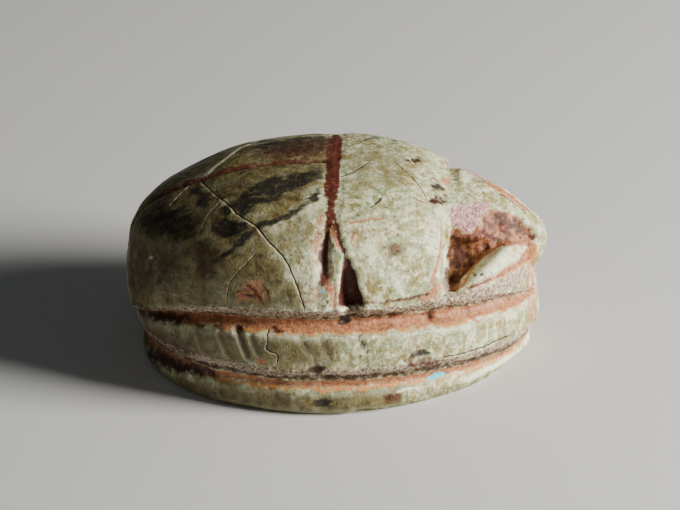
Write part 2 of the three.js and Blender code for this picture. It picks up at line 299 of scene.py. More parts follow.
def line_distance(corners):
    """Each point's signed distance from a line of pixels laid on the stone, in millimetres."""
    laid = []
    for start, end in zip(corners[:-1], corners[1:]):
        parts = max(2, int(math.dist(start, end) / PIXELS_PER_MM / LAID_STEP))
        for i in range(parts):
            spot = on_stone([a + (b - a) * i / parts for a, b in zip(start, end)])
            if spot is not None:
                laid.append(np.array(spot))
    laid = np.array(laid)
    tangents = np.gradient(laid, axis=0)
    tree = KDTree(len(laid))
    for i, spot in enumerate(laid):
        tree.insert(spot, i)
    tree.balance()
    low, high = laid.min(0) - LINE_REACH, laid.max(0) + LINE_REACH
    near = np.flatnonzero(np.all((points > low) & (points < high), axis=1))
    found = np.full(count, FAR_OFF)
    for k in near:
        spot, i, away = tree.find(points[k])
        sign = np.dot(np.cross(tangents[i], points[k] - laid[i]), normals[k])
        found[k] = min(away, FAR_OFF) * (1 if sign > 0 else -1)
    return found


def inside(outline, where, soft):
    """1 inside an outline of pixels, 0 outside it, with an edge a few pixels soft."""
    corners = np.array(outline, dtype=float)
    within = np.zeros(len(where), dtype=bool)
    gap = np.full(len(where), 1e9)
    for a, b in zip(corners, np.roll(corners, -1, axis=0)):
        crosses = (a[1] > where[:, 1]) != (b[1] > where[:, 1])
        slope = (b[0] - a[0]) / (b[1] - a[1]) if b[1] != a[1] else 0.0
        within ^= crosses & (where[:, 0] < a[0] + (where[:, 1] - a[1]) * slope)
        run = b - a
        t = np.clip(((where - a) @ run) / (run @ run), 0, 1)
        gap = np.minimum(gap, np.linalg.norm(where - a - t[:, None] * run, axis=1))
    return smooth(-soft, soft, np.where(within, gap, -gap))


def cloud(scale, octaves, seed):
    """Even noise over the stone, from about -1 to 1, with lumps of the given size in mm."""
    offset = Vector([seed * step for step in SEED_STEPS])
    found = np.empty(count)
    for k in range(count):
        spot = Vector(points[k]) / scale + offset
        found[k] = noise.fractal(spot, NOISE_FALL, NOISE_STEP, octaves)
    return found


print("Facing the camera:", int(facing.sum()), "points")

# %% [markdown]
# ## Carving and wear
# Each kind of relief is a height in millimetres, added along the surface's own direction. The
# stone's unevenness comes first. The relaxing washed out the narrowest lines of the back, so they
# are cut again, sharper. Then come the hollows, the strokes of the legs, pits and cracks.

# %% Unevenness and grain
SHAKE_WIDE, SHAKE_FINE = 3.5, 2.0
WAVER_WIDE, WAVER_FINE = 0.07, 0.05
ROLLING_HEIGHT, LUMP_HEIGHT, GRAIN_HEIGHT = 0.04, 0.014, 0.006
SAND_GRAIN_HEIGHT, SAND_LUMP_HEIGHT = 0.03, 0.025
LOWER_SAND = 0.9

rolling = cloud(2.4, 2, 1)
lumps = cloud(0.7, 3, 2)
lumps_b = cloud(0.8, 2, 5)
grain = cloud(0.2, 2, 3)
grain_b = cloud(0.25, 2, 7)
shake_x = SHAKE_WIDE * lumps + SHAKE_FINE * grain
shake = np.stack([shake_x, SHAKE_WIDE * lumps_b + SHAKE_FINE * grain_b], axis=1)

in_upper = (height - band_top) / (back_edge - band_top) + WAVER_WIDE * lumps + WAVER_FINE * grain
in_lower = (height - base_top) / LOWER_GROOVE_WIDTH + WAVER_WIDE * lumps + WAVER_FINE * grain
lower_sand = LOWER_SAND * between(0.66, 1.28, in_lower, 0.08)
sandy = np.maximum(between(0.66, 1.16, in_upper, 0.06), lower_sand)
relief = ROLLING_HEIGHT * rolling + LUMP_HEIGHT * lumps + GRAIN_HEIGHT * grain
relief += sandy * (SAND_GRAIN_HEIGHT * grain + SAND_LUMP_HEIGHT * lumps)
print(f"Relief from {relief.min():.3f} to {relief.max():.3f} mm")

# %% [markdown]
# The neck line crosses the back, and the suture divides the wing cases behind it. At each shoulder
# the neck line forks round a small notch. The formulas follow the CAD model's lines. Its forks are
# filled, and the near side's is cut anew by a drawn line, because on the stone it starts higher.

# %% The lines of the back
BACK_HALF_WIDTH = 6.12
NECK_LINE_SKEW, NECK_LINE_SAG = 0.04, 0.3
NOTCH_X, NOTCH_WIDTH, NOTCH_TOP = 0.66, 0.95, 6.95
NECK_DEPTH, NECK_HALF_WIDTH = 0.16, 0.2
SAG_PLACE, SAG_SPREAD = 0.87, 0.2
SUTURE_DEPTH, SUTURE_HALF_WIDTH, SUTURE_END = 0.07, 0.12, 0.1
FORK_DEPTH, FORK_HALF_WIDTH, FORK_FILL = 0.08, 0.1, 0.07
FORK_START, FORK_TOP, FORK_FOOT = 0.85, 0.8, 0.3
FORK_LINE = [(333, 213), (336, 226), (339, 239), (344, 253)]
NOTCH = [(345, 254), (350, 262), (355, 278), (362, 305), (340, 307), (339, 290), (342, 268)]
NOTCH_DEPTH = 0.16
NOWHERE = 9.0

on_back = smooth(0.0, 0.2, height - back_edge)
sag = bell(np.abs(side) / BACK_HALF_WIDTH - SAG_PLACE, SAG_SPREAD)
neck_x = NECK_LINE_SKEW * side - NECK_LINE_SAG * sag
neck_gap = along - neck_x + 0.05 * lumps + 0.02 * grain
suture_gap = np.where(along < SUTURE_END, side + 0.04 * lumps, NOWHERE)
fork_share = np.clip(NOTCH_TOP + FORK_START - height, 0, 1)
fork_x = neck_x + (NOTCH_X - 0.2 * NOTCH_WIDTH - neck_x) * fork_share
beside_fork = (height > NOTCH_TOP - FORK_FOOT) & (height < NOTCH_TOP + FORK_TOP)
fork_gap = np.where(beside_fork, along - fork_x, NOWHERE)
neck_depth = NECK_DEPTH * smooth(8.2, 7.0, height) * smooth(5.9, 6.4, height) * (1 + 0.3 * lumps)
relief -= on_back * neck_depth * bell(neck_gap, NECK_HALF_WIDTH)
relief -= on_back * SUTURE_DEPTH * bell(suture_gap, SUTURE_HALF_WIDTH)
relief += on_back * FORK_FILL * bell(fork_gap, FORK_HALF_WIDTH)
relief -= FORK_DEPTH * bell(line_distance(FORK_LINE), FORK_HALF_WIDTH)
notch_places = folded + np.stack([2 * lumps, 2 * lumps_b], axis=1)
notch = inside(NOTCH, notch_places, soft=2.5) * between(-0.6, 1.4, along, 0.1)
notch = notch * smooth(BACK_EDGE - 0.5, BACK_EDGE, height)
relief -= NOTCH_DEPTH * notch
print("Neck line, suture, forks and notches cut again")

# %% [markdown]
# Beside the head is a deep hollow with a leaf-shaped foreleg at its foot. Its outlines are used on
# both sides: a point of the far side is looked up where its mirror image would be. The hollow is
# cut a little deeper than the CAD model's, and the leaf stands out of it.

# %% The head's hollows, on both sides
HOLLOW = [(450, 206), (480, 203), (500, 208), (520, 217), (538, 238), (530, 245), (505, 243),
          (488, 251), (470, 268), (457, 293), (448, 290), (449, 262), (450, 235)]
HOLLOW_WALL = [(449, 206), (470, 202), (492, 203), (486, 214), (480, 226), (466, 233), (452, 228)]
HOLLOW_STREAKS = [(493, 206), (504, 208), (517, 218), (535, 234), (541, 243), (530, 241),
                  (512, 231), (496, 219)]
HOLLOW_DARK = [(448, 238), (462, 234), (478, 233), (484, 242), (472, 250), (460, 268), (455, 290),
               (448, 290)]
LEAF_RIM = [(455, 292), (470, 266), (488, 249), (505, 241), (530, 240), (540, 246), (536, 256),
            (516, 270), (500, 277), (480, 288)]
LEAF_MIDDLE = [(460, 286), (470, 272), (485, 257), (500, 247), (517, 244), (527, 247), (522, 256),
               (507, 267), (485, 280), (461, 291)]

HOLLOW_DEPTH, WALL_DEPTH, LEAF_RISE = 0.2, 0.1, 0.03
HOLLOW_SHAKE = 0.6

front = smooth(4.0, 4.6, along)
hollow_places = folded + HOLLOW_SHAKE * shake
hollow = inside(HOLLOW, hollow_places, soft=3)
wall = inside(HOLLOW_WALL, hollow_places, soft=4)
leaf = inside(LEAF_RIM, hollow_places, soft=1.5)
leaf_middle = inside(LEAF_MIDDLE, hollow_places, soft=2.5)
streaked = inside(HOLLOW_STREAKS, hollow_places, soft=4)
lower_hollow = front * hollow * (1 - wall) * (1 - leaf)
lower_depth = HOLLOW_DEPTH * lower_hollow * (1 - 0.3 * lumps)
relief -= lower_depth + WALL_DEPTH * front * wall * hollow
relief += LEAF_RISE * front * leaf_middle
print("Hollows cut")

# %% [markdown]
# The legs folded against the body are shown by short slanting cuts on the band between the
# grooves. Each is one stroke of a graver, given here by its two ends in pixels and its depth, and
# the stone beside it stands up as a lip, which the material paints with a pale highlight.

# %% Strokes on the leg band
LEG_STROKES = [
    ((220, 334), (228, 354), 0.08), ((237, 329), (248, 357), 0.13), ((251, 337), (258, 353), 0.07),
    ((300, 338), (308, 352), 0.035), ((320, 338), (328, 354), 0.04),
    ((338, 337), (345, 352), 0.03), ((357, 336), (367, 353), 0.06),
    ((197, 330), (203, 350), 0.06), ((411, 333), (417, 350), 0.03),
]
STROKE_HALF_WIDTH, STROKE_MARK = 0.12, 7
LIP_OFFSET, LIP_HALF_WIDTH, LIP_HEIGHT = 0.2, 0.06, 0.012

strokes = np.zeros(count)
stroke_lip_and_highlight = np.zeros(count)
for start, end, depth in LEG_STROKES:
    away = line_distance((start, end)) + 0.02 * grain
    lip = depth * STROKE_MARK * bell(away + LIP_OFFSET, LIP_HALF_WIDTH)
    strokes = np.maximum(strokes, depth * bell(away, STROKE_HALF_WIDTH))
    stroke_lip_and_highlight = np.maximum(stroke_lip_and_highlight, lip)
stroke_lip_and_highlight = np.clip(stroke_lip_and_highlight, 0, 1)
relief += LIP_HEIGHT * stroke_lip_and_highlight - strokes
print(len(LEG_STROKES), "strokes")

# %% [markdown]
# Chips and pits are round dents, each given by its pixel, its radius and its depth in
# millimetres. Noise stretches the distance from the middle, so that no dent is a perfect circle.

# %% Chips and pits
PITS = [
    ((414, 161), 0.22, 0.08), ((431, 185), 0.13, 0.07), ((440, 188), 0.15, 0.08),
    ((432, 201), 0.2, 0.09), ((442, 199), 0.22, 0.1), ((345, 320), 0.2, 0.1),
    ((429, 316), 0.17, 0.2), ((420, 354), 0.3, 0.06), ((409, 357), 0.15, 0.05),
    ((322, 402), 0.3, 0.08), ((322, 291), 0.1, 0.04), ((448, 347), 0.12, 0.06),
    ((395, 250), 0.35, 0.02), ((458, 250), 0.4, 0.16), ((455, 275), 0.3, 0.16),
    ((448, 248), 0.15, 0.08), ((252, 143), 0.3, 0.05), ((394, 149), 0.12, 0.03),
    ((228, 228), 0.4, 0.05), ((315, 370), 0.3, 0.08),
]
PIT_UNEVENNESS = 0.25

pits = np.zeros(count)
for pixel, radius, depth in PITS:
    away = np.linalg.norm(points - np.array(on_stone(pixel)), axis=1) * (1 + PIT_UNEVENNESS * lumps)
    pits = np.maximum(pits, depth * bell(away, radius))
relief -= pits
print(len(PITS), "pits and chips")

# %% [markdown]
# Each crack has its half width in millimetres, whether one of its edges gets a painted highlight,
# and its course in pixels. The signed distance to it is stored, so that the material can draw it
# finer than the skin's squares, and the skin itself only dips a little under it.

# %% Cracks
CRACKS = [
    (0.036, True, [(202, 182), (213, 192), (223, 200), (229, 205), (236, 213), (245, 219),
                   (256, 226), (269, 242), (282, 255), (288, 265), (295, 281), (304, 307)]),
    (0.016, True, [(220, 202), (210, 212), (206, 219), (200, 230)]),
    (0.018, True, [(256, 253), (248, 262), (240, 269), (230, 282), (227, 295), (226, 304)]),
    (0.026, False, [(398, 165), (404, 170), (412, 177), (421, 189), (427, 199)]),
    (0.032, False, [(341, 177), (349, 174), (358, 169), (369, 162)]),
    (0.028, False, [(346, 147), (357, 143), (370, 138)]),
    (0.03, True, [(269, 329), (267, 335), (268, 342), (266, 349), (270, 352), (275, 353),
                  (278, 357), (277, 363)]),
    (0.028, False, [(445, 357), (465, 353), (485, 346), (508, 335)]),
]
DRAWN_HALF_WIDTH = 0.03
CRACK_DIP, CRACK_DIP_WIDTH = 0.016, 0.06

crack_gap = np.full(count, FAR_OFF)
crack_lit = np.zeros(count)
for half_width, lit, corners in CRACKS:
    gap = (line_distance(corners) + 0.03 * grain) * DRAWN_HALF_WIDTH / half_width
    nearer = np.abs(gap) < np.abs(crack_gap)
    crack_gap = np.where(nearer, gap, crack_gap)
    crack_lit = np.where(nearer, float(lit), crack_lit)
relief -= CRACK_DIP * bell(crack_gap, CRACK_DIP_WIDTH)
print(len(CRACKS), "cracks")

# %% Move the points
BACK_LIP = [(300, 310), (330, 309), (350, 308), (372, 309), (392, 311)]
BACK_LIP_HEIGHT, BACK_LIP_HALF_WIDTH = 0.07, 0.1

relief += BACK_LIP_HEIGHT * bell(line_distance(BACK_LIP), BACK_LIP_HALF_WIDTH)
points = points + normals * relief[:, None]
print("Moved", count, "points")

# %% [markdown]
# The CAD model cuts the neck line evenly. On the stone it is worn shallow at the top of the back
# and runs out above its foot, so the skin there is relaxed a long way and pushed out a little.

# %% Fill the neck line
NECK_FILL, FILL_HALF_WIDTH = 0.14, 0.28
FILL_ROUNDS = 41
FILL_EVERYWHERE, FILL_AT_TOP, FILL_AT_FOOT = 0.35, 0.5, 0.65

at_top = FILL_AT_TOP * smooth(7.2, 8.2, height)
at_foot = FILL_AT_FOOT * smooth(6.4, 5.9, height)
filled = on_back * smooth(0.55, 0.3, np.abs(neck_gap)) * (FILL_EVERYWHERE + at_top + at_foot)
points += filled[:, None] * (relaxed(points, FILL_ROUNDS) - points)
normals = normals_of(points)
points += (NECK_FILL * filled * bell(neck_gap, FILL_HALF_WIDTH))[:, None] * normals
print("Filled the neck line round", int((filled > 0.5).sum()), "points")

# %% [markdown]
# The two sides of a hand-carved piece are never quite alike. Here the far edge of the head stands
# a little higher than the CAD model's, and the far front corner of the thorax reaches further
# forward. The corner is relaxed afterwards, to keep it round.

# %% Raise the head's far edge
HEAD_RISE = 0.32
SHOULDER_PUSH = 0.2
CORNER_ROUNDS = 20

far_edge = smooth(-0.9, 0.6, side) * between(4.95, 8.1, along, 0.4) * smooth(5.6, 6.4, height)
points[:, 2] += HEAD_RISE * far_edge
shoulder = smooth(-1.0, 0.8, side) * smooth(3.7, 4.6, along)
shoulder = shoulder * smooth(5.9, 4.9, along) * smooth(5.6, 6.2, height)
points[:, 0] += SHOULDER_PUSH * shoulder
corner = smooth(-1.2, 0.2, side) * between(4.7, 5.5, along, 0.2) * smooth(5.4, 5.8, height)
points += corner[:, None] * (relaxed(points, CORNER_ROUNDS) - points)
print(f"Raised by up to {HEAD_RISE * far_edge.max():.2f} mm")

# %% [markdown]
# Two places of the outline are worn away more than the rest: the lower rim under the head, and the
# lower corner of the back at the rear. The skin there is pulled back, across the picture, to the
# edge that the photograph shows.

# %% Worn edges
FRONT_RIM = [(340, 409), (382, 406), (403, 402), (419, 396), (441, 388), (466, 383), (483, 374),
             (506, 363), (520, 350), (532, 336), (536, 321)]
REAR_EDGE = [(270, 121), (280, 124), (290, 128), (300, 131), (310, 134), (316, 138)]
EDGE_ROUNDING = 1.5
EDGE_START = 1.0


def excess(values):
    """How many pixels values are above 0, with a rounded corner instead of a sharp one."""
    rounded = np.logaddexp(0, values / EDGE_ROUNDING) * EDGE_ROUNDING
    return np.maximum(0, rounded - EDGE_START)


rim_x, rim_y = zip(*FRONT_RIM)
over = excess(pixels[:, 1] - np.interp(pixels[:, 0], rim_x, rim_y))
over *= between(352, 526, pixels[:, 0], 10) * smooth(1.9, 1.2, height)
points += (over / PIXELS_PER_MM)[:, None] * up_mm
print(f"Worn back by {over.max() / PIXELS_PER_MM:.2f} mm under the head")
edge_y, edge_x = zip(*REAR_EDGE)
over = excess(np.interp(pixels[:, 1], edge_y, edge_x) - pixels[:, 0])
over *= between(274, 312, pixels[:, 1], 5)
points += (over / PIXELS_PER_MM)[:, None] * right_mm
print(f"Worn back by {over.max() / PIXELS_PER_MM:.2f} mm at the rear")

# %% [markdown]
# The noise must not lift the stone off its underside or carry it past the CAD model, so the
# underside is pressed nearly flat again and every point is kept inside the CAD model's box.

# %% Keep it on its flat underside and inside the CAD box
FACING_DOWN = -0.9
FLAT_LAYER, FLATTENED_TO = 0.02, 0.2

pressed = np.clip(points[:, 2] * FLATTENED_TO, 0.0, FLAT_LAYER)
under = (normals[:, 2] < FACING_DOWN) & (height < FLAT_LAYER)
points[:, 2] = np.where(under, pressed, points[:, 2])
points[:, 2] = np.maximum(points[:, 2], 0.0)
points = np.clip(points, np.array(cad_box[0]) / MM, np.array(cad_box[1]) / MM)
normals = normals_of(points)
pixels = to_pixels(points)
facing = facing_camera(normals)
surface = surface_of(points)
print("Carved skin spans", np.round(points.max(0) - points.min(0), 2), "mm")

# %% [markdown]
# ## Colour left on the stone, and painted light and shade
# The colours are painted as masks, one number from 0 to 1 at each point, and the material breaks
# their edges up with fine noise. The two grooves were once filled with ochre. From their lower
# edge up they go from orange, brightened at the foot with a painted highlight, through brick red
# and a dark line, partly stain and partly painted shade, to bare sandy stone. A pale line along the
# top edge of the leg band is a painted highlight.

# %% Paint in the grooves
KINDS = ("ochre", "bright", "umber", "sandy", "cream", "rust", "soot", "teal", "olive")
# "bright" is ochre with a painted highlight at the groove's foot; "umber" is a dark line, partly
# stain and partly painted shade.
UPPER_LAYERS = [
    ("ochre", 0.9, 0.06, 0.54, 0.06), ("bright", 0.72, 0.02, 0.09, 0.05),
    ("umber", 0.6, 0.54, 0.7, 0.06), ("cream", 0.4, 1.12, 1.26, 0.05),
    # A painted highlight on the leg band's top edge.
    ("cream", 0.45, -0.1, 0.0, 0.05),
]
# Here too "bright" is partly a painted highlight and "umber" partly painted shade.
LOWER_LAYERS = [
    ("ochre", 0.8, 0.2, 0.54, 0.08), ("bright", 0.66, 0.06, 0.22, 0.06),
    ("umber", 0.6, 0.52, 0.92, 0.12),
]

masks = {kind: np.zeros(count) for kind in KINDS}


def lay(kind, amount):
    """Paints an amount from 0 to 1 into a mask, where it is more than what is there."""
    masks[kind] = np.maximum(masks[kind], amount)


for place, layers in ((in_upper, UPPER_LAYERS), (in_lower, LOWER_LAYERS)):
    for kind, strength, low, high, soft in layers:
        lay(kind, strength * between(low, high, place, soft))
lay("sandy", sandy)
print("Painted", len(UPPER_LAYERS) + len(LOWER_LAYERS), "layers in the grooves")

# %% [markdown]
# The neck line, the suture and the notches are red-brown, and the notches are darkened over it with
# painted shade. The bands of colour are wider than the cuts and their width wavers, because a stain
# creeps out of the line it lies in.

# %% Paint in the lines of the back
NECK_RUST, NECK_UMBER = 0.42, 0.62
SUTURE_RUST, SUTURE_UMBER, NOTCH_SHADE = 0.7, 0.46, 0.56

upper_neck = smooth(6.6, 8.2, height)
neck_width = 0.15 + 0.13 * smooth(8.25, 8.6, height) + 0.08 * lumps + 0.03 * grain
neck_band = on_back * smooth(neck_width + 0.1, neck_width - 0.04, np.abs(neck_gap))
lay("rust", neck_band * (NECK_RUST + 0.46 * smooth(5.9, 6.3, height)))
suture_width = 0.26 + 0.14 * lumps + 0.06 * grain
suture = on_back * smooth(suture_width + 0.12, suture_width - 0.1, np.abs(suture_gap))
suture = suture * smooth(-8.3, -7.4, along)
lay("rust", SUTURE_RUST * suture)
lay("umber", SUTURE_UMBER * suture)
neck_dark = on_back * smooth(0.17, 0.06, np.abs(neck_gap)) * (1 - 0.45 * upper_neck)
lay("umber", NECK_UMBER * (neck_dark * smooth(6.0, 6.5, height)))
lay("cream", on_back * (1 - upper_neck) * 0.5 * between(-0.46, -0.3, neck_gap, 0.06))
# Painted shade in the notches, over red-brown.
lay("umber", NOTCH_SHADE * notch)
lay("rust", notch)
print("Painted the lines")

# %% [markdown]
# Each stain is an outline of picture pixels with its colour, its strength and the softness of its
# edge in pixels. The outlines are looked up at shaken places, so that they look like stains. A few
# outlines darken the left end of the grooves and the rear end, partly as stains and partly as
# painted shade; olive ones darken the left of the band and base, as olive tone and painted shade.
# The far wing case is darkened as a whole with painted shade, by how far it turns away from the
# camera.

# %% Stains
STAINS = [
    ("soot", 0.8, 5, [(229, 202), (245, 190), (268, 178), (296, 171), (321, 167), (325, 176),
     (305, 187), (285, 196), (262, 208), (240, 215)]),
    ("soot", 0.8, 3, [(212, 262), (230, 245), (255, 226), (275, 217), (290, 210), (305, 200),
     (320, 188), (323, 193), (306, 208), (288, 219), (262, 231), (238, 247), (218, 264)]),
    ("soot", 0.95, 3, [(212, 224), (226, 218), (246, 220), (250, 227), (243, 235), (226, 237),
     (213, 232)]),
    ("soot", 0.85, 2, [(219, 208), (228, 205), (233, 210), (228, 217), (220, 216)]),
    ("soot", 0.74, 14, [(138, 214), (160, 205), (190, 207), (203, 216), (198, 234), (175, 242),
     (150, 240), (136, 228)]),
    ("soot", 0.7, 4, [(188, 190), (200, 186), (212, 196), (210, 208), (196, 206)]),
    ("soot", 0.55, 4, [(209, 272), (219, 271), (220, 280), (211, 281)]),
    ("soot", 0.54, 9, [(246, 142), (262, 133), (300, 129), (333, 130), (330, 142), (300, 148),
     (262, 150)]),
    ("rust", 0.5, 6, [(262, 146), (300, 142), (331, 140), (326, 160), (290, 162), (258, 164)]),
    ("soot", 0.9, 2, [(364, 140), (374, 134), (386, 134), (387, 138), (374, 140)]),
    ("soot", 0.8, 1.5, [(387, 139), (396, 140), (403, 145), (395, 145)]),
    ("soot", 0.8, 2.5, [(427, 183), (434, 182), (447, 188), (445, 192), (434, 190)]),
    ("soot", 0.8, 2, [(312, 401), (322, 398), (335, 401), (330, 406), (316, 406)]),
    ("soot", 0.95, 2, [(339, 316), (349, 315), (351, 322), (345, 326), (338, 323)]),
    ("soot", 0.9, 1.5, [(407, 359), (414, 351), (425, 349), (433, 355), (424, 354), (415, 357)]),
    ("umber", 0.56, 8, [(248, 142), (262, 133), (300, 129), (333, 130), (330, 146), (325, 158),
     (290, 157), (262, 158), (248, 153)]),
    ("umber", 0.75, 3, [(406, 162), (412, 158), (421, 157), (420, 162), (412, 165)]),
    ("umber", 0.72, 3.5, [(425, 201), (431, 196), (440, 195), (449, 193), (447, 200), (440, 206),
     (430, 206)]),
    ("umber", 0.5, 8, [(192, 240), (210, 236), (222, 246), (218, 270), (205, 284), (194, 270)]),
    ("umber", 0.42, 5, [(252, 230), (264, 227), (273, 236), (266, 247), (254, 244)]),
    ("umber", 0.75, 3, [(305, 367), (315, 363), (326, 366), (322, 376), (308, 376)]),
    # These three darken the left end of the grooves and band: partly stain, partly painted shade.
    ("umber", 0.74, 8, [(108, 294), (150, 306), (196, 316), (204, 326), (160, 324), (108, 314)]),
    ("umber", 0.8, 8, [(108, 333), (150, 348), (212, 366), (224, 380), (180, 374), (108, 354)]),
    ("umber", 0.45, 10, [(108, 318), (165, 330), (204, 336), (198, 368), (150, 358), (108, 344)]),
    ("soot", 0.36, 12, [(140, 372), (190, 386), (230, 393), (232, 405), (190, 403), (140, 390)]),
    ("umber", 0.4, 12, [(120, 350), (180, 378), (228, 390), (226, 406), (160, 398), (120, 384)]),
    # Darker rear end: partly stain, partly painted shade.
    ("umber", 0.52, 14, [(112, 225), (150, 245), (185, 255), (180, 285), (140, 300), (118, 290)]),
    ("umber", 0.5, 2, [(303, 340), (308, 340), (309, 347), (304, 348)]),
    ("umber", 0.5, 3, [(326, 349), (334, 349), (335, 360), (328, 361)]),
    ("umber", 0.5, 3, [(268, 386), (275, 385), (290, 396), (293, 409), (280, 409), (272, 396)]),
    ("rust", 0.42, 4, [(240, 290), (250, 284), (262, 287), (268, 299), (260, 303), (248, 296)]),
    ("ochre", 0.6, 3, [(231, 297), (240, 286), (254, 281), (268, 283), (262, 290), (271, 299),
     (262, 306), (250, 299), (241, 305)]),
    ("rust", 0.45, 6, [(196, 262), (210, 258), (214, 276), (204, 288), (196, 278)]),
    ("rust", 0.6, 4, [(274, 280), (283, 278), (284, 285), (275, 286)]),
    ("rust", 0.8, 2, [(211, 325), (223, 324), (224, 330), (212, 330)]),
    ("rust", 0.8, 2, [(234, 325), (243, 325), (243, 331), (235, 331)]),
    ("rust", 0.75, 2.5, [(270, 327), (286, 327), (287, 333), (271, 334)]),
    ("rust", 0.5, 3, [(389, 147), (398, 147), (398, 152), (389, 152)]),
    ("rust", 0.55, 3, [(380, 394), (399, 392), (401, 402), (383, 403)]),
    ("rust", 0.55, 4, [(404, 356), (420, 354), (446, 358), (440, 368), (402, 370)]),
    ("rust", 0.46, 4, [(360, 313), (420, 309), (470, 301), (515, 290), (518, 298), (470, 310),
     (420, 318), (360, 321)]),
    ("rust", 0.45, 5, [(424, 303), (460, 302), (494, 294), (500, 302), (470, 312), (428, 313)]),
    ("ochre", 0.7, 4, [(254, 357), (266, 356), (268, 365), (256, 367)]),
    ("ochre", 0.7, 2.5, [(440, 176), (449, 177), (451, 184), (442, 183)]),
    ("ochre", 0.85, 2, [(443, 150), (448, 154), (453, 167), (448, 168), (444, 158)]),
    # Partly a pale chip, partly painted light that lifts a shaded slope.
    ("cream", 0.8, 3, [(458, 162), (468, 164), (478, 171), (474, 178), (466, 182), (459, 176)]),
    ("ochre", 0.95, 2, [(418, 299), (430, 289), (440, 282), (443, 288), (435, 298), (424, 302)]),
    ("olive", 0.9, 5, [(385, 246), (392, 241), (401, 244), (405, 251), (399, 258), (388, 257)]),
    ("ochre", 0.55, 4, [(391, 246), (398, 245), (401, 251), (395, 255), (390, 252)]),
    ("bright", 0.62, 2, [(535, 243), (542, 245), (538, 256), (524, 268), (506, 277), (498, 280),
     (512, 270), (528, 259)]),
    ("ochre", 0.42, 5, [(508, 242), (528, 240), (536, 246), (524, 256), (512, 252)]),
    ("ochre", 0.55, 4, [(526, 262), (538, 262), (541, 300), (536, 326), (528, 322)]),
    ("ochre", 0.55, 3, [(304, 290), (318, 284), (322, 300), (312, 306), (302, 304)]),
    ("ochre", 0.55, 4, [(319, 212), (325, 214), (320, 240), (318, 272), (311, 262), (312, 236)]),
    ("olive", 0.45, 3, [(468, 274), (476, 268), (482, 274), (474, 284)]),
    ("ochre", 0.66, 3, [(324, 282), (333, 266), (336, 286), (336, 304), (330, 304), (326, 294)]),
    ("ochre", 0.6, 2, [(332, 300), (341, 292), (343, 307), (334, 309)]),
    ("cream", 0.5, 2.5, [(218, 199), (229, 197), (232, 204), (222, 207)]),
    ("cream", 0.9, 2, [(443, 246), (448, 246), (450, 272), (446, 284), (442, 276)]),
    ("cream", 0.5, 2, [(331, 228), (335, 229), (336, 289), (331, 290)]),
    ("cream", 0.95, 1.5, [(315, 308), (350, 306), (391, 309), (390, 314), (350, 312), (316, 315)]),
    ("cream", 0.6, 4, [(458, 378), (484, 368), (512, 350), (532, 322), (540, 322), (532, 340),
     (508, 364), (470, 385)]),
    ("cream", 0.5, 5, [(390, 272), (402, 270), (406, 290), (398, 298), (390, 288)]),
    ("cream", 0.9, 1.5, [(149, 256), (153, 256), (153, 260), (149, 260)]),
    ("cream", 0.5, 6, [(420, 215), (440, 212), (444, 240), (436, 264), (424, 252)]),
    ("teal", 1.0, 1.5, [(428, 376), (433, 373), (444, 372), (445, 376), (434, 380), (428, 380)]),
    ("teal", 0.9, 1.2, [(321, 290), (324, 289), (325, 292), (322, 293)]),
    ("sandy", 0.9, 4, [(418, 303), (440, 297), (460, 292), (496, 288), (497, 296), (460, 304),
     (424, 308)]),
    ("sandy", 0.7, 3, [(474, 291), (500, 279), (528, 266), (533, 277), (510, 291), (480, 297)]),
    ("olive", 0.8, 12, [(110, 110), (335, 110), (332, 165), (322, 186), (292, 214), (264, 234),
     (284, 260), (300, 288), (306, 312), (110, 316)]),
    ("olive", 0.5, 6, [(190, 238), (230, 250), (250, 256), (236, 280), (228, 306), (170, 306)]),
    # Darker left of the base: olive tone and painted shade.
    ("olive", 0.85, 10, [(120, 350), (180, 376), (240, 388), (320, 392), (400, 388), (404, 406),
     (330, 418), (220, 412), (120, 395)]),
    # Darker left of the band: olive tone and painted shade.
    ("olive", 0.75, 14, [(110, 315), (240, 330), (300, 334), (345, 340), (330, 366), (240, 366),
     (120, 350)]),
    ("olive", 0.5, 10, [(340, 150), (400, 140), (420, 165), (400, 190), (350, 195)]),
    ("olive", 0.6, 9, [(262, 232), (292, 214), (312, 206), (313, 240), (300, 262), (278, 252)]),
    # Darker lower base: olive tone and painted shade.
    ("olive", 0.75, 12, [(240, 392), (300, 396), (350, 396), (354, 410), (290, 416), (230, 410)]),
]
for kind, strength, soft, outline in STAINS:
    shaken = pixels + shake * min(1.0, soft / 3)
    lay(kind, strength * inside(outline, shaken, soft) * facing)
# Painted shade on the far wing case, stronger where it turns away from the camera.
far_wing_shade = on_back * smooth(-0.1, -1.2, along) * (1 - facing) * (0.62 + 0.3 * rolling)
lay("olive", np.clip(far_wing_shade, 0, 1))
print(len(STAINS), "stains")

# %% [markdown]
# Thin lines of colour follow edges and cuts. Each has its colour, strength, half width in
# millimetres and course in pixels, and it is laid on the stone like the cracks.

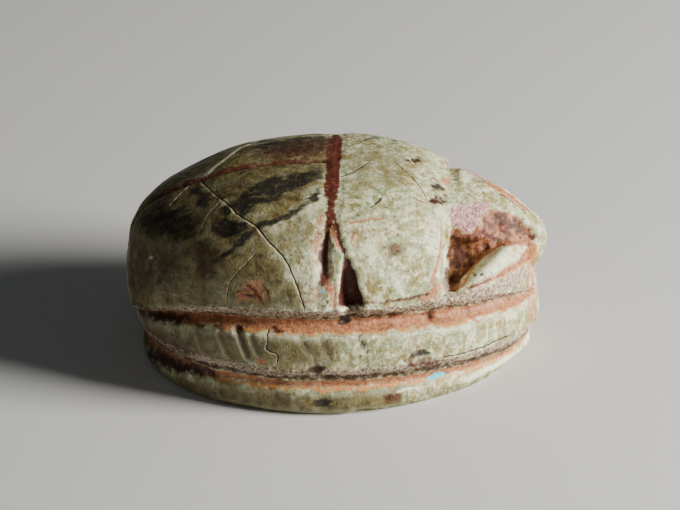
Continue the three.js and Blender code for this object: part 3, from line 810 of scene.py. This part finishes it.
# %% Fine lines of colour
LINES = [
    ("cream", 0.9, 0.07, [(259, 141), (240, 148), (228, 157), (215, 167), (205, 176)]),
    ("cream", 0.7, 0.04, [(192, 183), (180, 194), (169, 206)]),
    ("cream", 0.6, 0.035, [(169, 174), (179, 176), (189, 177)]),
    ("cream", 0.4, 0.05, [(160, 292), (170, 293), (180, 296)]),
    ("ochre", 0.6, 0.05, [(526, 270), (529, 290), (528, 318)]),
    ("cream", 0.8, 0.06, [(532, 268), (535, 290), (533, 316)]),
    ("umber", 0.8, 0.05, [(457, 290), (466, 275), (474, 264)]),
    ("ochre", 1.0, 0.09, [(462, 286), (474, 266), (490, 250), (506, 242), (528, 240)]),
    ("rust", 0.8, 0.08, FORK_LINE),
    ("rust", 0.8, 0.05, [(247, 284), (255, 291), (263, 304)]),
    ("rust", 0.75, 0.05, [(262, 283), (268, 292), (270, 300)]),
    ("rust", 0.7, 0.05, [(238, 292), (249, 296), (258, 297)]),
    ("ochre", 0.95, 0.12, [(486, 182), (500, 190), (515, 200), (529, 211)]),
    ("rust", 0.7, 0.05, [(499, 193), (514, 203), (527, 213)]),
    ("ochre", 0.8, 0.08, [(332, 224), (335, 237), (340, 250)]),
    ("umber", 0.7, 0.05, [(472, 275), (474, 280), (471, 284)]),
    ("cream", 0.7, 0.05, [(390, 273), (397, 283), (404, 296)]),
    ("cream", 0.7, 0.04, [(404, 276), (399, 284)]),
    # Painted highlight on the leg band's top edge.
    ("cream", 0.8, 0.06, [(463, 322), (490, 315), (515, 301)]),
    ("cream", 0.7, 0.05, [(396, 393), (405, 389), (418, 387)]),
    ("ochre", 0.7, 0.06, [(351, 223), (371, 219), (383, 219)]),
    ("ochre", 0.8, 0.07, [(351, 242), (354, 233)]),
    ("ochre", 0.85, 0.08, [(442, 222), (441, 242), (440, 254), (436, 270), (431, 284)]),
    ("rust", 0.66, 0.06, [(358, 304), (385, 302), (412, 298), (430, 294)]),
    ("soot", 0.8, 0.035, [(383, 195), (380, 200), (371, 208)]),
    ("soot", 0.9, 0.05, [(358, 215), (360, 217)]),
    ("soot", 0.8, 0.04, [(385, 230), (387, 228)]),
    ("soot", 0.9, 0.05, [(473, 273), (476, 276)]),
    ("soot", 0.9, 0.05, [(480, 275), (484, 274)]),
    ("umber", 0.8, 0.05, [(472, 279), (474, 284)]),
    ("umber", 0.7, 0.04, [(462, 289), (472, 287), (482, 283), (492, 279)]),
    ("umber", 0.7, 0.05, [(358, 337), (363, 345), (367, 353)]),
    ("ochre", 0.6, 0.06, [(411, 333), (414, 341), (417, 350)]),
]
LINE_WAVER = 0.02
FADE_FROM, FADE_TO = 0.6, 2

for kind, strength, half_width, corners in LINES:
    away = np.abs(line_distance(corners)) + LINE_WAVER * grain
    lay(kind, strength * smooth(half_width * FADE_TO, half_width * FADE_FROM, away))
print(len(LINES), "lines")

# %% [markdown]
# The hollow beside the head keeps the most colour: a pinkish sandy wall, ochre and rust below it,
# and an orange rim round the foreleg's bare, pale middle.

# %% Paint the hollows
bare = 1 - front * leaf_middle
leaf_edge = front * leaf * (1 - leaf_middle)
off_leaf = front * (1 - leaf)

lay("ochre", lower_hollow * 0.95)
lay("rust", lower_hollow * (0.55 + 0.35 * grain))
lay("rust", 0.4 * leaf_edge)
lay("umber", 0.5 * off_leaf * inside(HOLLOW_DARK, hollow_places, soft=6))
lay("umber", 0.6 * off_leaf * streaked)
lay("sandy", 0.95 * front * wall)
lay("ochre", 0.85 * leaf_edge)
masks["pink"] = front * wall
masks["cream"] *= 1 - lower_hollow
lay("cream", 0.5 * front * leaf_middle)
for kind in ("umber", "rust", "sandy"):
    masks[kind] *= bare
print("Hollows painted")

# %% [markdown]
# A mask becomes an attribute, one number at each point of the mesh, which the material can read.
# The cuts and pits are stored too, so that dirt lies in them. The finished skin then becomes one
# object that rides the part's root and takes the CAD solid's place.

# %% Store the masks
CAVITY_SCALE, PIT_SCALE = 4, 6

masks["cavity"] = np.clip(cavity * CAVITY_SCALE + 0.5, 0, 1)
masks["crack"] = crack_gap
masks["crack_lit"] = crack_lit
masks["pits"] = np.clip(pits * PIT_SCALE, 0, 1)
masks["strokes"] = np.clip(strokes * STROKE_MARK, 0, 1)
masks["stroke_lip_and_highlight"] = stroke_lip_and_highlight
masks["flank"] = smooth(4.7, 4.2, height) * smooth(0.6, 0.3, normals[:, 2])

skin.name = "scarab_stone"
for name, values in masks.items():
    stored = skin.attributes.new(name, "FLOAT", "POINT")
    stored.data.foreach_set("value", values.astype(np.float32))
skin.vertices.foreach_set("co", (points * MM).ravel())
skin.shade_smooth()
stone = new_object("scarab_stone", skin)
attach(stone, "root")
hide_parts("scarab")
print("Stone has", sum(len(f.vertices) - 2 for f in skin.polygons), "triangles")

# %% [markdown]
# ## The material
# One Principled shader, with the stone's colours mixed in layers: mottled stone first, then sand,
# ochre, rust, umber, soot and specks, each through its mask. Noise is read in Object coordinates,
# so it stays on the stone from every side.

# %% Node helpers
material = bpy.data.materials.new("steatite")
material.use_nodes = True
tree = material.node_tree
shader = tree.nodes["Principled BSDF"]
coordinates = tree.nodes.new("ShaderNodeTexCoord")


def colour(red, green, blue):
    """A linear colour from the 0 to 255 numbers that a painting program shows."""
    return tuple((c / 255) ** 2.2 for c in (red, green, blue)) + (1.0,)


def join(value, socket):
    """Links a socket, or sets a plain number or colour."""
    if isinstance(value, bpy.types.NodeSocket):
        tree.links.new(value, socket)
    else:
        socket.default_value = value


def mask(name):
    """One of the stored masks, as a socket."""
    node = tree.nodes.new("ShaderNodeAttribute")
    node.attribute_name = name
    return node.outputs["Fac"]


def noise_of(size_mm, detail, roughness, stretch=(1, 1, 1)):
    """Noise with lumps of about size_mm, finer and harder with more detail and roughness."""
    place = tree.nodes.new("ShaderNodeMapping")
    place.inputs["Scale"].default_value = stretch
    tree.links.new(coordinates.outputs["Object"], place.inputs["Vector"])
    node = tree.nodes.new("ShaderNodeTexNoise")
    node.inputs["Scale"].default_value = 1 / (size_mm * MM)
    node.inputs["Detail"].default_value = detail
    node.inputs["Roughness"].default_value = roughness
    tree.links.new(place.outputs["Vector"], node.inputs["Vector"])
    return node.outputs["Fac"]


def maths(operation, first, second=0.0):
    """A sum, difference or the like of sockets and plain numbers."""
    node = tree.nodes.new("ShaderNodeMath")
    node.operation = operation
    for value, socket in zip((first, second), node.inputs):
        join(value, socket)
    return node.outputs[0]


def product(first, second):
    """Two sockets or plain numbers, multiplied."""
    return maths("MULTIPLY", first, second)


def ramp(value, low, high, from_value=0.0, to_value=1.0):
    """A smooth ramp of one value between two others."""
    node = tree.nodes.new("ShaderNodeMapRange")
    node.interpolation_type = "SMOOTHSTEP"
    numbers = {"From Min": low, "From Max": high, "To Min": from_value, "To Max": to_value}
    for socket, number in numbers.items():
        node.inputs[socket].default_value = number
    join(value, node.inputs["Value"])
    return node.outputs["Result"]


def blend(amount, under, over):
    """Lays one colour over another."""
    node = tree.nodes.new("ShaderNodeMix")
    node.data_type = "RGBA"
    join(amount, node.inputs[0])
    join(under, node.inputs[6])
    join(over, node.inputs[7])
    return node.outputs[2]


def cover(amount, over):
    """Lays one more colour over the stone's."""
    global stone_colour
    stone_colour = blend(amount, stone_colour, over)


def broken(name, noise_value, width, edge=0.12):
    """A mask whose edge is broken up by noise."""
    centred = maths("SUBTRACT", noise_value, 0.5)
    shaken = maths("ADD", mask(name), product(centred, width))
    return ramp(shaken, 0.5 - edge, 0.5 + edge)


print("Shader ready:", shader.name)

# %% [markdown]
# The bare stone is pale grey-green, mottled with brown and cream at five sizes of noise, with thin
# dark veins and rasp marks on the flanks. Where the cavity mask says hollow it is darkened with
# dirt and painted shade, and where it says raised it is paled with wear and a painted highlight.

# %% Stone colours
PALE = colour(196, 204, 162)
GREENISH = colour(132, 146, 100)
TAN = colour(136, 116, 60)
CREAM = colour(246, 244, 208)
WARM = colour(186, 148, 96)
OLIVE = colour(74, 62, 32)
OLIVE_PALE = colour(128, 116, 74)
DARK_FLECK = colour(66, 58, 40)
SAND = colour(170, 150, 124)
SAND_PINK = colour(198, 146, 148)
SAND_DARK = colour(84, 66, 54)
SAND_WHITE = colour(232, 222, 208)
BRICK = colour(150, 90, 58)
BRICK_PALE = colour(192, 136, 98)
ORANGE = colour(206, 138, 74)
RUST = colour(86, 38, 26)
RUST_PALE = colour(150, 92, 70)
UMBER = colour(62, 34, 20)
SOOT = colour(30, 28, 25)
TEAL = colour(92, 196, 214)
CRACK = colour(34, 24, 18)
CRACK_HIGHLIGHT = colour(222, 204, 160)
STROKE_BROWN = colour(66, 44, 30)
VEIN_LEVEL, VEIN_HALF_WIDTH = 0.47, 0.012

wide_noise = noise_of(2.6, 5, 0.6)
middle_noise = noise_of(0.8, 5, 0.65)
small_noise = noise_of(0.32, 4, 0.65)
fine_noise = noise_of(0.15, 4, 0.7)
speckle = noise_of(0.12, 3, 0.6)

stone_colour = blend(ramp(wide_noise, 0.3, 0.7), PALE, GREENISH)
cover(ramp(middle_noise, 0.45, 0.62, 0.0, 0.85), TAN)
cover(ramp(small_noise, 0.58, 0.36, 0.0, 0.7), CREAM)
cover(ramp(fine_noise, 0.46, 0.68, 0.0, 0.75), TAN)
warm_noise = noise_of(0.55, 5, 0.7)
cover(ramp(warm_noise, 0.55, 0.7, 0.0, 0.55), WARM)
olive_colour = blend(ramp(small_noise, 0.35, 0.65), OLIVE, OLIVE_PALE)
cover(broken("olive", middle_noise, 1.2, 0.45), olive_colour)
rasped = noise_of(0.22, 3, 0.6, (1, 1, 0.18))
rasp_marks = product(ramp(rasped, 0.48, 0.66, 0.0, 0.75), mask("flank"))
cover(rasp_marks, OLIVE_PALE)
from_vein = maths("ABSOLUTE", maths("SUBTRACT", middle_noise, VEIN_LEVEL))
vein = ramp(from_vein, 0.0, VEIN_HALF_WIDTH, 0.45, 0.0)
cover(vein, DARK_FLECK)
# Pale on raised places: worn stone and a painted highlight.
cover(ramp(mask("cavity"), 0.42, 0.2, 0.0, 0.3), CREAM)
# Dark in hollows: dirt and painted shade.
cover(ramp(mask("cavity"), 0.6, 0.9, 0.0, 0.6), OLIVE)
cream_colour = blend(ramp(fine_noise, 0.5, 0.7, 0.0, 0.7), CREAM, PALE)
cream_amount = product(broken("cream", fine_noise, 1.0, 0.25), 0.9)
cover(cream_amount, cream_colour)
flecks = product(ramp(speckle, 0.57, 0.66), ramp(small_noise, 0.42, 0.62, 0.15, 0.9))
cover(flecks, DARK_FLECK)
print("Bare stone coloured with", len(tree.nodes), "nodes")

# %% [markdown]
# The groove walls are rough and sandy, with dark and white grains. Ochre, orange, rust and umber
# are laid over the sand, each by its own mask.

# %% Sand and ochre
sand_colour = blend(mask("pink"), SAND, SAND_PINK)
off_pink = maths("SUBTRACT", 1.0, product(mask("pink"), 0.15))
dark_grains = product(ramp(speckle, 0.5, 0.62, 0.0, 0.85), off_pink)
sand_colour = blend(dark_grains, sand_colour, SAND_DARK)
sand_colour = blend(ramp(speckle, 0.44, 0.34, 0.0, 0.85), sand_colour, SAND_WHITE)
cover(broken("sandy", small_noise, 1.0, 0.25), sand_colour)
ochre_colour = blend(ramp(fine_noise, 0.35, 0.65), BRICK, BRICK_PALE)
ochre_colour = blend(ramp(middle_noise, 0.52, 0.7, 0.0, 0.7), ochre_colour, RUST)
cover(broken("ochre", small_noise, 1.2, 0.25), ochre_colour)
cover(broken("bright", small_noise, 1.3, 0.3), ORANGE)
rust_colour = blend(ramp(small_noise, 0.5, 0.65, 0.0, 0.75), RUST, UMBER)
rust_colour = blend(ramp(fine_noise, 0.55, 0.68, 0.0, 0.8), rust_colour, RUST_PALE)
cover(broken("rust", small_noise, 1.3, 0.3), rust_colour)
cover(broken("umber", small_noise, 1.3, 0.3), UMBER)
print("Ochre laid on,", len(tree.nodes), "nodes")

# %% [markdown]
# Last come the marks on top of everything: soot in streaks along the body, brown in the pits and
# strokes, a painted highlight on the strokes' lips, the cracks with their dark core and a painted
# highlight on one edge, and two specks of blue.

# %% Soot, pits, cracks and blue specks
CRACK_CORE, CRACK_EDGE = 0.016, 0.036
HIGHLIGHT_NEAR, HIGHLIGHT_FAR = (-0.02, -0.04), (-0.095, -0.055)

streaks = noise_of(0.3, 4, 0.65, (0.3, 1, 1))
soot_amount = broken("soot", streaks, 1.5, 0.34)
soot_amount = product(soot_amount, ramp(fine_noise, 0.66, 0.56, 0.35, 0.95))
cover(soot_amount, SOOT)
cover(product(mask("pits"), 0.6), UMBER)
# Pale painted highlight on the lips beside the strokes.
cover(product(mask("stroke_lip_and_highlight"), 0.4), CREAM)
cover(product(mask("strokes"), 0.75), STROKE_BROWN)
crack_side = mask("crack")
crack_depth = ramp(maths("ABSOLUTE", crack_side), CRACK_CORE, CRACK_EDGE, 1.0, 0.0)
# A painted highlight along one edge of each crack marked as lit.
crack_highlight = product(ramp(crack_side, *HIGHLIGHT_NEAR), ramp(crack_side, *HIGHLIGHT_FAR))
lip_light = product(mask("crack_lit"), ramp(small_noise, 0.4, 0.6, 0.1, 0.9))
crack_highlight = product(crack_highlight, lip_light)
cover(crack_highlight, CRACK_HIGHLIGHT)
cover(crack_depth, CRACK)
cover(broken("teal", fine_noise, 0.4), TEAL)
join(stone_colour, shader.inputs["Base Color"])
print(len(tree.nodes), "nodes in the stone's colour")

# %% [markdown]
# The stone has a dull, soapy polish, and its sandy walls have none. The grains are too fine for
# the mesh, so they are a bump of a tenth of a millimetre.

# %% Gloss and fine relief
SPECULAR = 0.4
BUMP_STRENGTH, BUMP_DISTANCE = 0.8, 0.0001

polish = ramp(wide_noise, 0.35, 0.65, 0.5, 0.64)
join(maths("ADD", polish, product(mask("sandy"), 0.25)), shader.inputs["Roughness"])
shader.inputs["Specular IOR Level"].default_value = SPECULAR
grain_height = maths("ADD", product(fine_noise, 0.5), product(speckle, 0.25))
sand_height = product(product(speckle, mask("sandy")), 1.4)
crack_height = product(crack_depth, 1.5)
bump_height = maths("SUBTRACT", maths("ADD", grain_height, sand_height), crack_height)
bump = tree.nodes.new("ShaderNodeBump")
bump.inputs["Strength"].default_value = BUMP_STRENGTH
bump.inputs["Distance"].default_value = BUMP_DISTANCE
join(bump_height, bump.inputs["Height"])
join(bump.outputs["Normal"], shader.inputs["Normal"])
skin.materials.clear()
skin.materials.append(material)
print("Material finished with", len(tree.nodes), "nodes")

# %% [markdown]
# ## Floor and light
# The photograph is lit from the upper right, so one soft lamp stands low on the head's side. A
# larger, weak one above the camera and a dim room keep the shadows open. The floor is plain paper.

# %% Floor
FLOOR_HALF_SIZE = 0.6
FLOOR_PAPER = (0.62, 0.62, 0.6, 1)
FLOOR_ROUGHNESS = 0.9

floor = bmesh.new()
bmesh.ops.create_grid(floor, x_segments=1, y_segments=1, size=FLOOR_HALF_SIZE)
floor_mesh = bpy.data.meshes.new("floor")
floor.to_mesh(floor_mesh)
floor.free()
floor_object = new_object("floor", floor_mesh)
floor_material = bpy.data.materials.new("floor_paper")
floor_material.use_nodes = True
floor_shader = floor_material.node_tree.nodes["Principled BSDF"]
floor_shader.inputs["Base Color"].default_value = FLOOR_PAPER
floor_shader.inputs["Roughness"].default_value = FLOOR_ROUGHNESS
floor_mesh.materials.append(floor_material)
print("Floor", round(2 * FLOOR_HALF_SIZE / MM), "mm wide")

# %% Lights
ROOM_COLOUR = (0.75, 0.78, 0.82, 1)
ROOM_STRENGTH = 0.062


def soft_light(name, towards, distance, size, power, tint):
    """A square light that faces the stone from a direction, all in millimetres."""
    data = bpy.data.lights.new(name, "AREA")
    data.size = size * MM
    data.energy = power
    data.color = tint
    light = new_object(name, data)
    direction = Vector(towards).normalized()
    place = Matrix.Translation((LOOK_AT + direction * distance) * MM)
    light.matrix_world = place @ direction.to_track_quat("Z", "Y").to_matrix().to_4x4()


soft_light("key", towards=(0.9, -0.28, 0.37), distance=160, size=60, power=0.8,
           tint=(1.0, 0.98, 0.94))
soft_light("fill", towards=(-0.3, -0.8, 0.9), distance=200, size=150, power=0.014,
           tint=(0.95, 0.97, 1.0))
world = bpy.data.worlds.new("room")
world.use_nodes = True
room_light = world.node_tree.nodes["Background"]
room_light.inputs["Color"].default_value = ROOM_COLOUR
room_light.inputs["Strength"].default_value = ROOM_STRENGTH
bpy.context.scene.world = world
